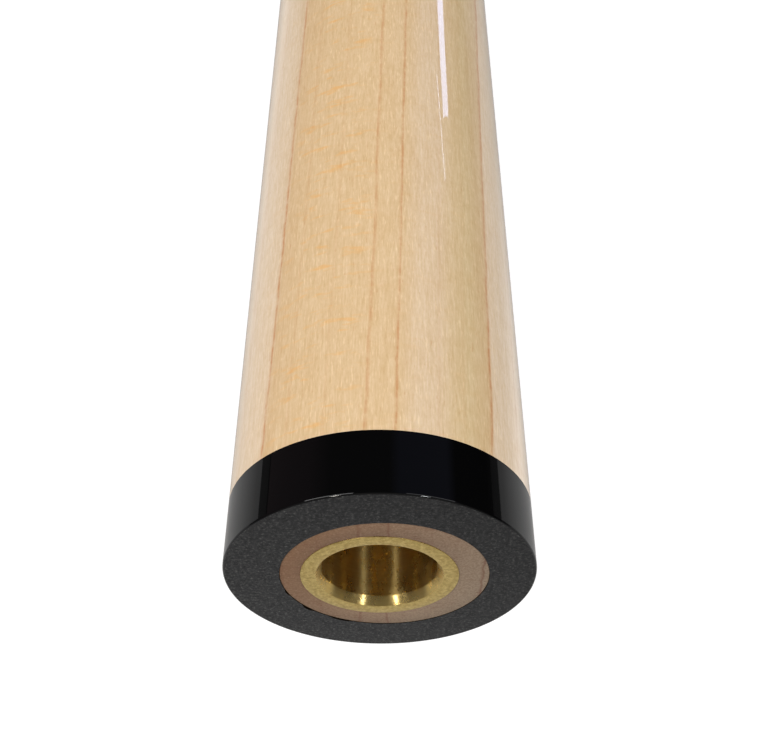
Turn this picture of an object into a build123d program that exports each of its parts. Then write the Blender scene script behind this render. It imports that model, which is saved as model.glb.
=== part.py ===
from build123d import *
import os
from math import sqrt

# Two-piece pool cue, unscrewed at the joint, in millimetres.
# The origin is the centre of the shaft's joint face. The shaft runs to +Y and the butt lies on the
# same axis, drawn back along -Y by a whole number of turns of its thread. +Z is up.

# Joint thread, 5/16 x 14
THREAD_PITCH = 25.4 / 14
TURNS_APART = 26
DRAWN_BACK = THREAD_PITCH * TURNS_APART

# Whole halves
SHAFT_LENGTH = 736.6
BUTT_LENGTH = 736.6
JOINT_DIAMETER = 21.3
TIP_DIAMETER = 12.9
BUTT_DIAMETER = 31.2

# Clearances between pieces that move on each other, on the radius, and along the axis
PILOT_CLEARANCE = 0.04
THREAD_CLEARANCE = 0.07
NOSE_CLEARANCE = 0.5
SWIVEL_CLEARANCE = 0.06
SWIVEL_END_PLAY = 0.1

# Shaft: leather tip, pad, ferrule, blank, collar and insert
TIP_HEIGHT = 5.6
TIP_DOME_RADIUS = 10.6
PAD_THICKNESS = 1.0
FERRULE_LENGTH = 25.4
FERRULE_CAP = 5.4
FERRULE_TENON_DIAMETER = 8.2
BARREL_LENGTH = 304.8
SHAFT_COLLAR_LENGTH = 4.8
COLLAR_EDGE = 0.18
TENON_DIAMETER = 14.3
TENON_OFF_CENTRE = 0.33
INSERT_DIAMETER = 10.8
INSERT_LENGTH = 32.0
MOUTH_DIAMETER = 8.74
MOUTH_DEPTH = 0.62
PILOT_DIAMETER = 7.98
PILOT_DEPTH = 12.5
THREAD_BORE_DIAMETER = 7.24
BLIND_HOLE_DIAMETER = 6.6
BLIND_HOLE_DEPTH = 8.0

# Joint pin: what stands in front of the butt's joint face, and its shank behind it
PIN_NECK_LENGTH = 1.1
PIN_THREAD_TURNS = 4
PIN_NOSE_LENGTH = 10.0
PIN_NOSE_BEVEL = 1.6
PIN_SHANK_DIAMETER = 9.5
PIN_SHANK_LENGTH = 38.0

# Butt, each length along it from the joint face backwards
BUTT_COLLAR_LENGTH = 12.7
JOINT_RING_LENGTH = 1.6
FOREARM_LENGTH = 303.7
WRAP_RING_LENGTH = 5.0
WRAP_LENGTH = 305.0
WRAP_THICKNESS = 0.6
SLEEVE_LENGTH = 66.0
CAP_RING_LENGTH = 2.0
CAP_LENGTH = 23.6
CAP_POCKET_DEPTH = 11.0
CAP_ROUNDING = 2.5
FRONT_TENON_DIAMETER = 16.0
REAR_TENON_DIAMETER = 19.0
STUD_DIAMETER = 9.5
STUD_IN_FOREARM = 25.0
STUD_IN_CORE = 32.0
WEIGHT_BOLT_DIAMETER = 12.7
WEIGHT_BOLT_LENGTH = 38.1
BUMPER_SCREW_DIAMETER = 6.0
BUMPER_SCREW_IN_BOLT = 14.0
SCREW_HOLE_CLEARANCE = 0.2
SCREW_HEAD_DIAMETER = 9.6
SCREW_HEAD_HEIGHT = 3.4
SCREW_SOCKET_ACROSS = 4.0
SCREW_SOCKET_DEPTH = 2.0
WASHER_DIAMETER = 12.0
WASHER_THICKNESS = 1.2
BUMPER_BASE_DIAMETER = 26.0
BUMPER_END_DIAMETER = 23.0
BUMPER_ROUNDING = 2.6
BUMPER_WEB = 4.9
BUMPER_POCKET_DIAMETER = 13.6

# Stations along the shaft, in front of the joint face
TIP_BASE = SHAFT_LENGTH - TIP_HEIGHT
PAD_BASE = TIP_BASE - PAD_THICKNESS
FERRULE_BASE = PAD_BASE - FERRULE_LENGTH
BARREL_START = SHAFT_LENGTH - BARREL_LENGTH

# Stations along the butt, each a distance behind the butt's joint face
FOREARM_FRONT = BUTT_COLLAR_LENGTH + JOINT_RING_LENGTH
FOREARM_BACK = FOREARM_FRONT + FOREARM_LENGTH
WRAP_FRONT = FOREARM_BACK + WRAP_RING_LENGTH
WRAP_BACK = WRAP_FRONT + WRAP_LENGTH
SLEEVE_FRONT = WRAP_BACK + WRAP_RING_LENGTH
SLEEVE_BACK = SLEEVE_FRONT + SLEEVE_LENGTH
CAP_FRONT = SLEEVE_BACK + CAP_RING_LENGTH
CORE_BACK = CAP_FRONT + CAP_POCKET_DEPTH
CAP_BACK = CAP_FRONT + CAP_LENGTH


def turned(outline):
    """Solid of revolution about the cue's axis. The outline's corners are (radius, y)."""
    return revolve(make_face(Polyline(*outline, close=True)), Axis.Y, 360)


def rod(radius, start, end):
    return turned([(0, start), (radius, start), (radius, end), (0, end)])


def tube(inner, start, end, outer_start, outer_end):
    """Tapered tube with a straight bore."""
    return turned([(inner, start), (outer_start, start), (outer_end, end), (inner, end)])


def shaft_radius(y):
    """Half width of the shaft: a straight taper from the joint, then one diameter to the tip."""
    if y >= BARREL_START:
        return TIP_DIAMETER / 2
    return JOINT_DIAMETER / 2 + (TIP_DIAMETER - JOINT_DIAMETER) / 2 * y / BARREL_START


def butt_radius(behind):
    """Half width of the butt at a distance behind its joint face."""
    return JOINT_DIAMETER / 2 + (BUTT_DIAMETER - JOINT_DIAMETER) / 2 * behind / CAP_BACK


def behind(distance):
    """The y of a station on the butt."""
    return -DRAWN_BACK - distance


def butt_tube(inner, front, back):
    return tube(inner, behind(front), behind(back), butt_radius(front), butt_radius(back))


# Shaft

def leather_tip():
    radius = TIP_DIAMETER / 2
    dome_base = SHAFT_LENGTH - TIP_DOME_RADIUS + sqrt(TIP_DOME_RADIUS ** 2 - radius ** 2)
    outline = Polyline((0, SHAFT_LENGTH), (0, TIP_BASE), (radius, TIP_BASE), (radius, dome_base))
    half = radius / 2
    half_y = SHAFT_LENGTH - TIP_DOME_RADIUS + sqrt(TIP_DOME_RADIUS ** 2 - half ** 2)
    dome = ThreePointArc((radius, dome_base), (half, half_y), (0, SHAFT_LENGTH))
    return revolve(make_face([*outline.edges(), dome]), Axis.Y, 360)


def tip_pad():
    return rod(TIP_DIAMETER / 2, PAD_BASE, TIP_BASE)


def ferrule():
    body = rod(TIP_DIAMETER / 2, FERRULE_BASE, PAD_BASE)
    return body - rod(FERRULE_TENON_DIAMETER / 2, FERRULE_BASE, PAD_BASE - FERRULE_CAP)


def joint_tenon(radius):
    """Cylinder through the collar, turned a little off the cue's axis."""
    return Pos(TENON_OFF_CENTRE, 0, 0) * rod(radius, 0, SHAFT_COLLAR_LENGTH)


def shaft_blank():
    start = SHAFT_COLLAR_LENGTH
    body = turned([
        (0, start),
        (shaft_radius(start), start),
        (TIP_DIAMETER / 2, BARREL_START),
        (TIP_DIAMETER / 2, FERRULE_BASE),
        (FERRULE_TENON_DIAMETER / 2, FERRULE_BASE),
        (FERRULE_TENON_DIAMETER / 2, PAD_BASE - FERRULE_CAP),
        (0, PAD_BASE - FERRULE_CAP),
    ])
    body += joint_tenon(TENON_DIAMETER / 2)
    body -= rod(INSERT_DIAMETER / 2, 0, INSERT_LENGTH)
    return body - rod(BLIND_HOLE_DIAMETER / 2, INSERT_LENGTH, INSERT_LENGTH + BLIND_HOLE_DEPTH)


def shaft_collar():
    end = SHAFT_COLLAR_LENGTH
    body = turned([
        (0, 0),
        (JOINT_DIAMETER / 2 - COLLAR_EDGE, 0),
        (shaft_radius(COLLAR_EDGE), COLLAR_EDGE),
        (shaft_radius(end), end),
        (0, end),
    ])
    return body - joint_tenon(TENON_DIAMETER / 2)


def joint_insert():
    return turned([
        (MOUTH_DIAMETER / 2, 0),
        (INSERT_DIAMETER / 2, 0),
        (INSERT_DIAMETER / 2, INSERT_LENGTH),
        (THREAD_BORE_DIAMETER / 2, INSERT_LENGTH),
        (THREAD_BORE_DIAMETER / 2, PILOT_DEPTH),
        (PILOT_DIAMETER / 2, PILOT_DEPTH),
        (PILOT_DIAMETER / 2, MOUTH_DEPTH),
    ])


# Butt

def joint_pin():
    pilot = PILOT_DIAMETER / 2 - PILOT_CLEARANCE
    thread = THREAD_BORE_DIAMETER / 2 - THREAD_CLEARANCE
    nose = THREAD_BORE_DIAMETER / 2 - NOSE_CLEARANCE
    pilot_front = PILOT_DEPTH - PIN_NECK_LENGTH
    thread_front = PILOT_DEPTH + PIN_THREAD_TURNS * THREAD_PITCH
    nose_front = thread_front + PIN_NOSE_LENGTH
    return turned([
        (0, behind(PIN_SHANK_LENGTH)),
        (PIN_SHANK_DIAMETER / 2, behind(PIN_SHANK_LENGTH)),
        (PIN_SHANK_DIAMETER / 2, behind(0)),
        (pilot, behind(0)),
        (pilot, behind(-pilot_front)),
        (nose, behind(-pilot_front)),
        (nose, behind(-PILOT_DEPTH)),
        (thread, behind(-PILOT_DEPTH)),
        (thread, behind(-thread_front)),
        (nose, behind(-thread_front)),
        (nose, behind(-nose_front + PIN_NOSE_BEVEL)),
        (nose - PIN_NOSE_BEVEL, behind(-nose_front)),
        (0, behind(-nose_front)),
    ])


def butt_collar():
    body = turned([
        (TENON_DIAMETER / 2, behind(0)),
        (JOINT_DIAMETER / 2 - COLLAR_EDGE, behind(0)),
        (butt_radius(COLLAR_EDGE), behind(COLLAR_EDGE)),
        (butt_radius(BUTT_COLLAR_LENGTH), behind(BUTT_COLLAR_LENGTH)),
        (TENON_DIAMETER / 2, behind(BUTT_COLLAR_LENGTH)),
    ])
    return body


def joint_ring():
    return butt_tube(TENON_DIAMETER / 2, BUTT_COLLAR_LENGTH, FOREARM_FRONT)


def forearm():
    body = turned([
        (0, behind(0)),
        (TENON_DIAMETER / 2, behind(0)),
        (TENON_DIAMETER / 2, behind(FOREARM_FRONT)),
        (butt_radius(FOREARM_FRONT), behind(FOREARM_FRONT)),
        (butt_radius(FOREARM_BACK), behind(FOREARM_BACK)),
        (0, behind(FOREARM_BACK)),
    ])
    body -= rod(PIN_SHANK_DIAMETER / 2, behind(PIN_SHANK_LENGTH), behind(0))
    return body - rod(STUD_DIAMETER / 2, behind(FOREARM_BACK), behind(FOREARM_BACK - STUD_IN_FOREARM))


def handle_stud():
    return rod(STUD_DIAMETER / 2, behind(FOREARM_BACK + STUD_IN_CORE), behind(FOREARM_BACK - STUD_IN_FOREARM))


def handle_core():
    body = turned([
        (0, behind(FOREARM_BACK)),
        (FRONT_TENON_DIAMETER / 2, behind(FOREARM_BACK)),
        (FRONT_TENON_DIAMETER / 2, behind(WRAP_FRONT)),
        (butt_radius(WRAP_FRONT) - WRAP_THICKNESS, behind(WRAP_FRONT)),
        (butt_radius(WRAP_BACK) - WRAP_THICKNESS, behind(WRAP_BACK)),
        (REAR_TENON_DIAMETER / 2, behind(WRAP_BACK)),
        (REAR_TENON_DIAMETER / 2, behind(CORE_BACK)),
        (0, behind(CORE_BACK)),
    ])
    body -= rod(STUD_DIAMETER / 2, behind(FOREARM_BACK + STUD_IN_CORE), behind(FOREARM_BACK))
    return body - rod(WEIGHT_BOLT_DIAMETER / 2, behind(CORE_BACK), behind(CORE_BACK - WEIGHT_BOLT_LENGTH))


def linen_wrap():
    front = butt_radius(WRAP_FRONT)
    back = butt_radius(WRAP_BACK)
    return turned([
        (front - WRAP_THICKNESS, behind(WRAP_FRONT)),
        (front, behind(WRAP_FRONT)),
        (back, behind(WRAP_BACK)),
        (back - WRAP_THICKNESS, behind(WRAP_BACK)),
    ])


def butt_sleeve():
    return butt_tube(REAR_TENON_DIAMETER / 2, SLEEVE_FRONT, SLEEVE_BACK)


def butt_cap():
    edge = CAP_BACK - CAP_ROUNDING
    radius = butt_radius(CAP_BACK)
    straight = Polyline(
        (0, behind(CAP_BACK)),
        (0, behind(CAP_FRONT)),
        (butt_radius(CAP_FRONT), behind(CAP_FRONT)),
        (radius, behind(edge)),
    )
    rounding = RadiusArc((radius, behind(edge)), (radius - CAP_ROUNDING, behind(CAP_BACK)), CAP_ROUNDING)
    floor = Line((radius - CAP_ROUNDING, behind(CAP_BACK)), (0, behind(CAP_BACK)))
    body = revolve(make_face([*straight.edges(), rounding, floor]), Axis.Y, 360)
    body -= rod(REAR_TENON_DIAMETER / 2, behind(CORE_BACK), behind(CAP_FRONT))
    hole = BUMPER_SCREW_DIAMETER / 2 + SCREW_HOLE_CLEARANCE
    return body - rod(hole, behind(CAP_BACK), behind(CAP_FRONT))


def weight_bolt():
    body = rod(WEIGHT_BOLT_DIAMETER / 2, behind(CORE_BACK), behind(CORE_BACK - WEIGHT_BOLT_LENGTH))
    return body - rod(BUMPER_SCREW_DIAMETER / 2, behind(CORE_BACK), behind(CORE_BACK - BUMPER_SCREW_IN_BOLT))


BUMPER_FRONT = CAP_BACK + SWIVEL_END_PLAY
POCKET_FLOOR = BUMPER_FRONT + BUMPER_WEB
WASHER_FRONT = POCKET_FLOOR + SWIVEL_END_PLAY
HEAD_FRONT = WASHER_FRONT + WASHER_THICKNESS
HEAD_BACK = HEAD_FRONT + SCREW_HEAD_HEIGHT


def bumper_screw():
    body = rod(BUMPER_SCREW_DIAMETER / 2, behind(HEAD_FRONT), behind(CORE_BACK - BUMPER_SCREW_IN_BOLT))
    body += rod(SCREW_HEAD_DIAMETER / 2, behind(HEAD_BACK), behind(HEAD_FRONT))
    outline = RegularPolygon(SCREW_SOCKET_ACROSS / sqrt(3), 6)
    socket = extrude(Plane((0, behind(HEAD_BACK), 0), z_dir=(0, 1, 0)) * outline, SCREW_SOCKET_DEPTH)
    return body - socket


def bumper_washer():
    body = rod(WASHER_DIAMETER / 2, behind(HEAD_FRONT), behind(WASHER_FRONT))
    return body - rod(BUMPER_SCREW_DIAMETER / 2, behind(HEAD_FRONT), behind(WASHER_FRONT))


def bumper():
    base = BUMPER_BASE_DIAMETER / 2
    end = BUMPER_END_DIAMETER / 2
    edge = behind(BUTT_LENGTH - BUMPER_ROUNDING)
    straight = Polyline(
        (0, behind(BUTT_LENGTH)),
        (0, behind(BUMPER_FRONT)),
        (base, behind(BUMPER_FRONT)),
        (end, edge),
    )
    inner = end - BUMPER_ROUNDING
    rounding = RadiusArc((end, edge), (inner, behind(BUTT_LENGTH)), BUMPER_ROUNDING)
    floor = Line((inner, behind(BUTT_LENGTH)), (0, behind(BUTT_LENGTH)))
    body = revolve(make_face([*straight.edges(), rounding, floor]), Axis.Y, 360)
    body -= rod(BUMPER_POCKET_DIAMETER / 2, behind(BUTT_LENGTH), behind(POCKET_FLOOR))
    hole = BUMPER_SCREW_DIAMETER / 2 + SWIVEL_CLEARANCE
    return body - rod(hole, behind(POCKET_FLOOR), behind(BUMPER_FRONT))


PIECES = {
    "leather_tip": leather_tip(),
    "tip_pad": tip_pad(),
    "ferrule": ferrule(),
    "shaft_blank": shaft_blank(),
    "shaft_collar": shaft_collar(),
    "joint_insert": joint_insert(),
    "joint_pin": joint_pin(),
    "butt_collar": butt_collar(),
    "joint_ring": joint_ring(),
    "forearm": forearm(),
    "handle_stud": handle_stud(),
    "handle_core": handle_core(),
    "wrap_front_ring": butt_tube(FRONT_TENON_DIAMETER / 2, FOREARM_BACK, WRAP_FRONT),
    "linen_wrap": linen_wrap(),
    "wrap_back_ring": butt_tube(REAR_TENON_DIAMETER / 2, WRAP_BACK, SLEEVE_FRONT),
    "butt_sleeve": butt_sleeve(),
    "cap_ring": butt_tube(REAR_TENON_DIAMETER / 2, SLEEVE_BACK, CAP_FRONT),
    "butt_cap": butt_cap(),
    "weight_bolt": weight_bolt(),
    "bumper_screw": bumper_screw(),
    "bumper_washer": bumper_washer(),
    "bumper": bumper(),
}

os.makedirs("parts", exist_ok=True)
for name, shape in PIECES.items():
    export_step(shape, f"parts/{name}.step")
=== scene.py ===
import bpy
from math import atan2, cos, pi, radians, sin, sqrt, tau
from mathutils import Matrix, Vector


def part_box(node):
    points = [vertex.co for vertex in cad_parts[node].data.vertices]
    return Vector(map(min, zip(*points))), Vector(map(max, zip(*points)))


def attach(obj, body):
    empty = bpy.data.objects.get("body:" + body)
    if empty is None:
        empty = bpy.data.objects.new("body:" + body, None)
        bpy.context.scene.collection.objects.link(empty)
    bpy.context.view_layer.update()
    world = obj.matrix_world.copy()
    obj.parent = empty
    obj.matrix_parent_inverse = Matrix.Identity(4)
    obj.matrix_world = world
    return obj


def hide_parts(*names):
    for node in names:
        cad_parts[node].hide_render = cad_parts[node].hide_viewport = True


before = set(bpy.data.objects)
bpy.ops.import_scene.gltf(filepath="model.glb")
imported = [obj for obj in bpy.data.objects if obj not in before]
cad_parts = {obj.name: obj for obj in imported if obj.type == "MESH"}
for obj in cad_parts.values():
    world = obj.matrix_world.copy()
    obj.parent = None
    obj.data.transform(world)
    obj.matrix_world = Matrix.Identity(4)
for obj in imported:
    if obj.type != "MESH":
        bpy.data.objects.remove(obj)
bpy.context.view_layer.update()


# Maple shaft: one turned length of hard maple, straight in the grain, tapered from the joint and then
# one diameter to the tip. Its tenon goes through the collar and shows as a ring of end grain in the
# joint face. The outside is under a gloss clear coat; the sawn end is bare.

mm = 0.001


def lathe(name, rings, sides=192, starts_closed=False, ends_closed=False):
    """Turned skin through rings of (y, radius, sideways shift) in millimetres, in order."""
    bpy.ops.object.select_all(action="DESELECT")
    y, radius, shift = (value * mm for value in rings[0])
    bpy.ops.mesh.primitive_circle_add(
        vertices=sides,
        radius=radius,
        fill_type="TRIFAN" if starts_closed else "NOTHING",
        location=(shift, y, 0),
        rotation=(pi / 2, 0, 0),
    )
    piece = bpy.context.object
    piece.name = name
    bpy.ops.object.transform_apply(location=True, rotation=True, scale=True)
    bpy.ops.object.mode_set(mode="EDIT")
    bpy.ops.mesh.select_mode(type="EDGE")
    bpy.ops.mesh.select_all(action="SELECT")
    if starts_closed:
        bpy.ops.mesh.region_to_loop()
    for ring in rings[1:]:
        next_y, next_radius, next_shift = (value * mm for value in ring)
        move = (next_shift - shift, next_y - y, 0)
        bpy.ops.mesh.extrude_edges_move(TRANSFORM_OT_translate={"value": move})
        grow = next_radius / radius
        bpy.ops.transform.resize(value=(grow, 1, grow), center_override=(next_shift, next_y, 0))
        y, radius, shift = next_y, next_radius, next_shift
    if ends_closed:
        bpy.ops.mesh.extrude_edges_move(TRANSFORM_OT_translate={"value": (0, 0, 0)})
        bpy.ops.mesh.merge(type="CENTER")
    bpy.ops.mesh.select_all(action="SELECT")
    bpy.ops.mesh.remove_doubles(threshold=0.001 * mm)
    bpy.ops.mesh.normals_make_consistent(inside=False)
    bpy.ops.object.mode_set(mode="OBJECT")
    return piece


def on_axis(rings):
    return [(y, radius, 0) for y, radius in rings]


def soften(piece, width, segments=3, smooth_to=35):
    """Rounds the piece's corners by a width in millimetres and shades it smooth."""
    bpy.ops.object.select_all(action="DESELECT")
    piece.select_set(True)
    bpy.context.view_layer.objects.active = piece
    if width:
        bevel = piece.modifiers.new("edge", "BEVEL")
        bevel.width = width * mm
        bevel.segments = segments
        bevel.limit_method = "ANGLE"
        bevel.angle_limit = radians(28)
        bpy.ops.object.modifier_apply(modifier=bevel.name)
    bpy.ops.object.shade_smooth_by_angle(angle=radians(smooth_to))
    even = piece.modifiers.new("even shading", "WEIGHTED_NORMAL")
    even.keep_sharp = True
    bpy.ops.object.modifier_apply(modifier=even.name)


def fit(piece, body, slot, *nodes):
    """Puts a finished piece on its body, in place of the plain solids it stands for."""
    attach(piece, body)
    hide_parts(*nodes)


def feed(tree, value, socket):
    """Joins another node's output to an input, or sets the input to a plain value."""
    if isinstance(value, bpy.types.NodeSocket):
        tree.links.new(value, socket)
    else:
        socket.default_value = value


def node(tree, kind, settings=(), inputs=()):
    """One shader node, with its settings, and its inputs given as values or as sockets to join."""
    made = tree.nodes.new("ShaderNode" + kind)
    for name, value in dict(settings).items():
        setattr(made, name, value)
    for name, value in dict(inputs).items():
        feed(tree, value, made.inputs[name])
    return made


def group(name, takes, gives):
    """An empty shader node group, with its input and output nodes."""
    tree = bpy.data.node_groups.new(name, "ShaderNodeTree")
    add = tree.interface.new_socket
    for label, (kind, value) in takes.items():
        socket = add(name=label, in_out="INPUT", socket_type="NodeSocket" + kind)
        if value is not None:
            socket.default_value = value
    for label, kind in gives.items():
        add(name=label, in_out="OUTPUT", socket_type="NodeSocket" + kind)
    return tree, tree.nodes.new("NodeGroupInput").outputs, tree.nodes.new("NodeGroupOutput").inputs


def use(tree, made_group, inputs):
    """A node group placed in a material with its own values; gives the group's outputs."""
    return node(tree, "Group", {"node_tree": made_group}, inputs).outputs


def maths(tree, operation, *values):
    made = node(tree, "Math", {"operation": operation})
    for socket, value in zip(made.inputs, values):
        feed(tree, value, socket)
    return made.outputs["Value"]


def mix(tree, amount, below, above, blend="MIX"):
    """Mix of two colours by an amount. The colour sockets of a Mix node are 6, 7 and output 2."""
    made = node(tree, "Mix", {"data_type": "RGBA", "blend_type": blend})
    for place, value in ((0, amount), (6, below), (7, above)):
        feed(tree, value, made.inputs[place])
    return made.outputs[2]


def grey(value):
    return (value, value, value, 1)


def ramp(tree, value, stops):
    """Colour ramp through stops of (position, colour), where a plain number is a grey."""
    made = node(tree, "ValToRGB", (), {"Fac": value})
    stops = [(at, colour if isinstance(colour, tuple) else grey(colour)) for at, colour in stops]
    elements = made.color_ramp.elements
    elements[0].position, elements[0].color = stops[0]
    elements[1].position, elements[1].color = stops[-1]
    for position, colour in stops[1:-1]:
        elements.new(position).color = colour
    return made.outputs["Color"]


def finish(name, **values):
    """A new material and its shader, with the shader's plain values set."""
    material = bpy.data.materials.new(name)
    material.use_nodes = True
    tree = material.node_tree
    shader = tree.nodes["Principled BSDF"]
    for label, value in values.items():
        shader.inputs[label.replace("_", " ")].default_value = value
    return material, tree, shader


def stretched(tree, vector, scale):
    return node(tree, "Mapping", (), {"Vector": vector, "Scale": scale}).outputs["Vector"]


def sizes(tree, scale=(1000, 1000, 1000)):
    """Object coordinates times a scale, in millimetres unless another scale is given."""
    return stretched(tree, node(tree, "TexCoord").outputs["Object"], scale)


def cloud(tree, vector, scale, detail, roughness):
    """Soft noise with this many patches to the unit, and finer noise laid over it."""
    values = {"Vector": vector, "Scale": scale, "Detail": detail, "Roughness": roughness}
    return node(tree, "TexNoise", (), values).outputs["Fac"]


def relief(tree, shader, height, strength, depth):
    """Fine relief in a surface, from a height pattern, with its depth in millimetres."""
    values = {"Strength": strength, "Distance": depth * mm, "Height": height}
    bump = node(tree, "Bump", (), values)
    tree.links.new(bump.outputs["Normal"], shader.inputs["Normal"])


# Grain of straight maple: growth lines seen edge on, leaning a little across the piece, fine fibres,
# brown pores with pale flecks of painted shine, and short bars of ray fleck. All in millimetres, with
# the grain along Y.

line_places = (-10.0, -8.2, -6.6, -4.1, -1.36, 0.54, 3.4, 5.1, 7.0, 9.1)
line_depths = (0.3, 0.9, 0.35, 0.35, 1.0, 0.85, 0.2, 0.2, 0.9, 0.3)
line_half = 0.07
stock_width = 28.0


def growth_stops():
    """Ramp stops across the stock, dark on each growth line, which fades more slowly on one side."""
    stops = [(0.0, 0)]
    half = line_half / stock_width
    for place, depth in zip(line_places, line_depths):
        middle = place / stock_width + 0.5
        stops += [(middle - 2 * half, 0), (middle, depth), (middle + half, 0)]
    return stops + [(1.0, 0)]


grain, takes, gives = group(
    "maple grain",
    {
        "Place": ("Vector", None),
        "Wood": ("Color", (0.622, 0.442, 0.252, 1)),
        "Pale": ("Color", (0.66, 0.500, 0.335, 1)),
        "Green": ("Color", (0.61, 0.453, 0.254, 1)),
        # The pale band near each side of the stock is a painted sheen, in place of the coat's glancing
        # reflection
        "Painted sheen": ("Color", (0.98, 0.80, 0.62, 1)),
        "Line": ("Color", (0.46, 0.165, 0.035, 1)),
        "Fleck": ("Color", (0.70, 0.38, 0.13, 1)),
        "Shine": ("Color", (0.90, 0.72, 0.46, 1)),
    },
    {"Color": "Color"},
)


def along_grain(scale, detail, roughness):
    """Noise in the wood, stretched by a scale across, along and through the grain."""
    return cloud(grain, stretched(grain, takes["Place"], scale), 1.0, detail, roughness)


def weighted(*terms):
    """Sum of patterns times their weights, in the grain group."""
    total = 0.0
    for value, weight in terms:
        total = maths(grain, "ADD", total, maths(grain, "MULTIPLY", value, weight))
    return total


# Where a point lies across the growth lines, which lean, wander and wobble a little
apart = node(grain, "SeparateXYZ", (), {"Vector": takes["Place"]}).outputs
wander = maths(grain, "SUBTRACT", along_grain((0.10, 0.035, 0.10), 3, 0.55), 0.5)
wobble = maths(grain, "SUBTRACT", along_grain((0.5, 0.35, 0.5), 2, 0.5), 0.5)
across = weighted(
    (apart["X"], 1.0), (apart["Y"], -0.026), (apart["Z"], -0.03), (wander, 0.5), (wobble, 0.22)
)
share = maths(grain, "ADD", maths(grain, "DIVIDE", across, stock_width), 0.5)

lines = ramp(grain, share, growth_stops())
gaps = ramp(grain, along_grain((1.0, 0.9, 1.0), 4, 0.7), [(0.35, 0.25), (0.62, 1)])
lines = maths(grain, "MULTIPLY", maths(grain, "MULTIPLY", lines, gaps), 0.9)

# Bands of colour from side to side of the stock
bands = {
    "Pale": (
        (0.0, 1), (0.205, 1), (0.215, 0), (0.525, 0), (0.57, 0.7),
        (0.62, 0.7), (0.68, 0), (0.745, 0), (0.755, 1),
    ),
    "Green": ((0.0, 0), (0.62, 0), (0.69, 1), (0.74, 1), (0.755, 0)),
    # Pale bands near each edge of the stock: a painted sheen, standing in for the coat's glancing
    # reflection
    "Painted sheen": (
        (0.06, 0), (0.11, 0.5), (0.127, 0.48), (0.149, 0.12), (0.177, 0),
        (0.79, 0), (0.804, 0.16), (0.83, 0.85), (0.86, 0.85), (0.92, 0),
    ),
    "Line": (
        (0.20, 0), (0.21, 0.05), (0.225, 0.05), (0.26, 0),
        (0.70, 0), (0.735, 0.13), (0.752, 0.13), (0.757, 0),
    ),
}
base = takes["Wood"]
for colour, stops in bands.items():
    base = mix(grain, ramp(grain, share, stops), base, takes[colour])

# Fibres, hairs, curl and grit shade the wood, and a darker shade is also a warmer one
shade = weighted(
    (1.0, 0.37),
    (along_grain((3.2, 0.12, 3.2), 5, 0.62), 0.30),
    (along_grain((8.0, 0.75, 8.0), 4, 0.7), 0.62),
    (along_grain((0.45, 0.9, 0.45), 4, 0.6), 0.12),
    (along_grain((5.0, 2.6, 5.0), 3, 0.7), 0.22),
)
warm = {"X": maths(grain, "POWER", shade, 0.65), "Y": shade, "Z": maths(grain, "POWER", shade, 1.6)}
tint = node(grain, "CombineXYZ", (), warm).outputs["Vector"]
wood = mix(grain, 1.0, base, tint, "MULTIPLY")

bars = ramp(grain, along_grain((0.42, 1.5, 0.42), 4, 0.65), [(0.55, 0), (0.68, 1)])
zone = ramp(grain, share, [(0.20, 0.1), (0.27, 1), (0.40, 0.8), (0.46, 0.1)])
flecks = maths(grain, "MULTIPLY", maths(grain, "MULTIPLY", bars, zone), 0.75)
wood = mix(grain, flecks, wood, takes["Fleck"])
pores = along_grain((9.0, 1.1, 9.0), 2, 0.5)
# Pale flecks along the pores: painted shine
wood = mix(grain, ramp(grain, pores, [(0.59, 0), (0.72, 0.34)]), wood, takes["Shine"])
wood = mix(grain, ramp(grain, pores, [(0.25, 0.32), (0.33, 0)]), wood, takes["Line"])
wood = mix(grain, lines, wood, takes["Line"])
grain.links.new(wood, gives["Color"])

clear_maple, tree, shader = finish(
    "clear coated maple",
    Roughness=0.42,
    Specular_IOR_Level=0.25,
    Coat_Weight=1.0,
    Coat_Roughness=0.02,
    Coat_IOR=1.5,
)
drawn = use(tree, grain, {"Place": sizes(tree)})
tree.links.new(drawn["Color"], shader.inputs["Base Color"])

# End grain: the same growth lines, with open pores in place of fibres, dulled by sanding dust
end_grain, tree, shader = finish("sanded end grain", Roughness=0.75, Specular_IOR_Level=0.15)
place = sizes(tree)
apart = node(tree, "SeparateXYZ", (), {"Vector": place}).outputs
side = maths(tree, "ADD", maths(tree, "MULTIPLY", apart["X"], 0.06), 0.5)
side = maths(tree, "SUBTRACT", side, maths(tree, "MULTIPLY", apart["Z"], 0.025))
blush = mix(tree, side, (0.226, 0.124, 0.070, 1), (0.292, 0.222, 0.158, 1))
dots = cloud(tree, place, 7.0, 3, 0.7)
blush = mix(tree, ramp(tree, dots, [(0.35, 0.36), (0.55, 0)]), blush, (0.10, 0.05, 0.03, 1))
blush = mix(tree, ramp(tree, dots, [(0.58, 0), (0.75, 0.35)]), blush, (0.42, 0.33, 0.25, 1))
warp = maths(tree, "MULTIPLY", maths(tree, "SUBTRACT", cloud(tree, place, 0.9, 3, 0.6), 0.5), 0.5)
rings = maths(tree, "ADD", maths(tree, "DIVIDE", maths(tree, "ADD", apart["X"], warp), stock_width), 0.5)
marks = maths(tree, "MULTIPLY", ramp(tree, rings, growth_stops()), 0.6)
blush = mix(tree, marks, blush, (0.13, 0.035, 0.022, 1))
rays = cloud(tree, stretched(tree, place, (0.22, 1.0, 1.5)), 1.0, 2, 0.5)
rays = ramp(tree, rays, [(0.485, 0), (0.50, 0.55), (0.515, 0)])
sparse = ramp(tree, cloud(tree, place, 0.45, 2, 0.5), [(0.42, 0.1), (0.58, 1)])
rays = maths(tree, "MULTIPLY", rays, sparse)
blush = mix(tree, rays, blush, (0.15, 0.055, 0.035, 1))
tree.links.new(blush, shader.inputs["Base Color"])
relief(tree, shader, dots, 0.5, 0.03)


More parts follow.
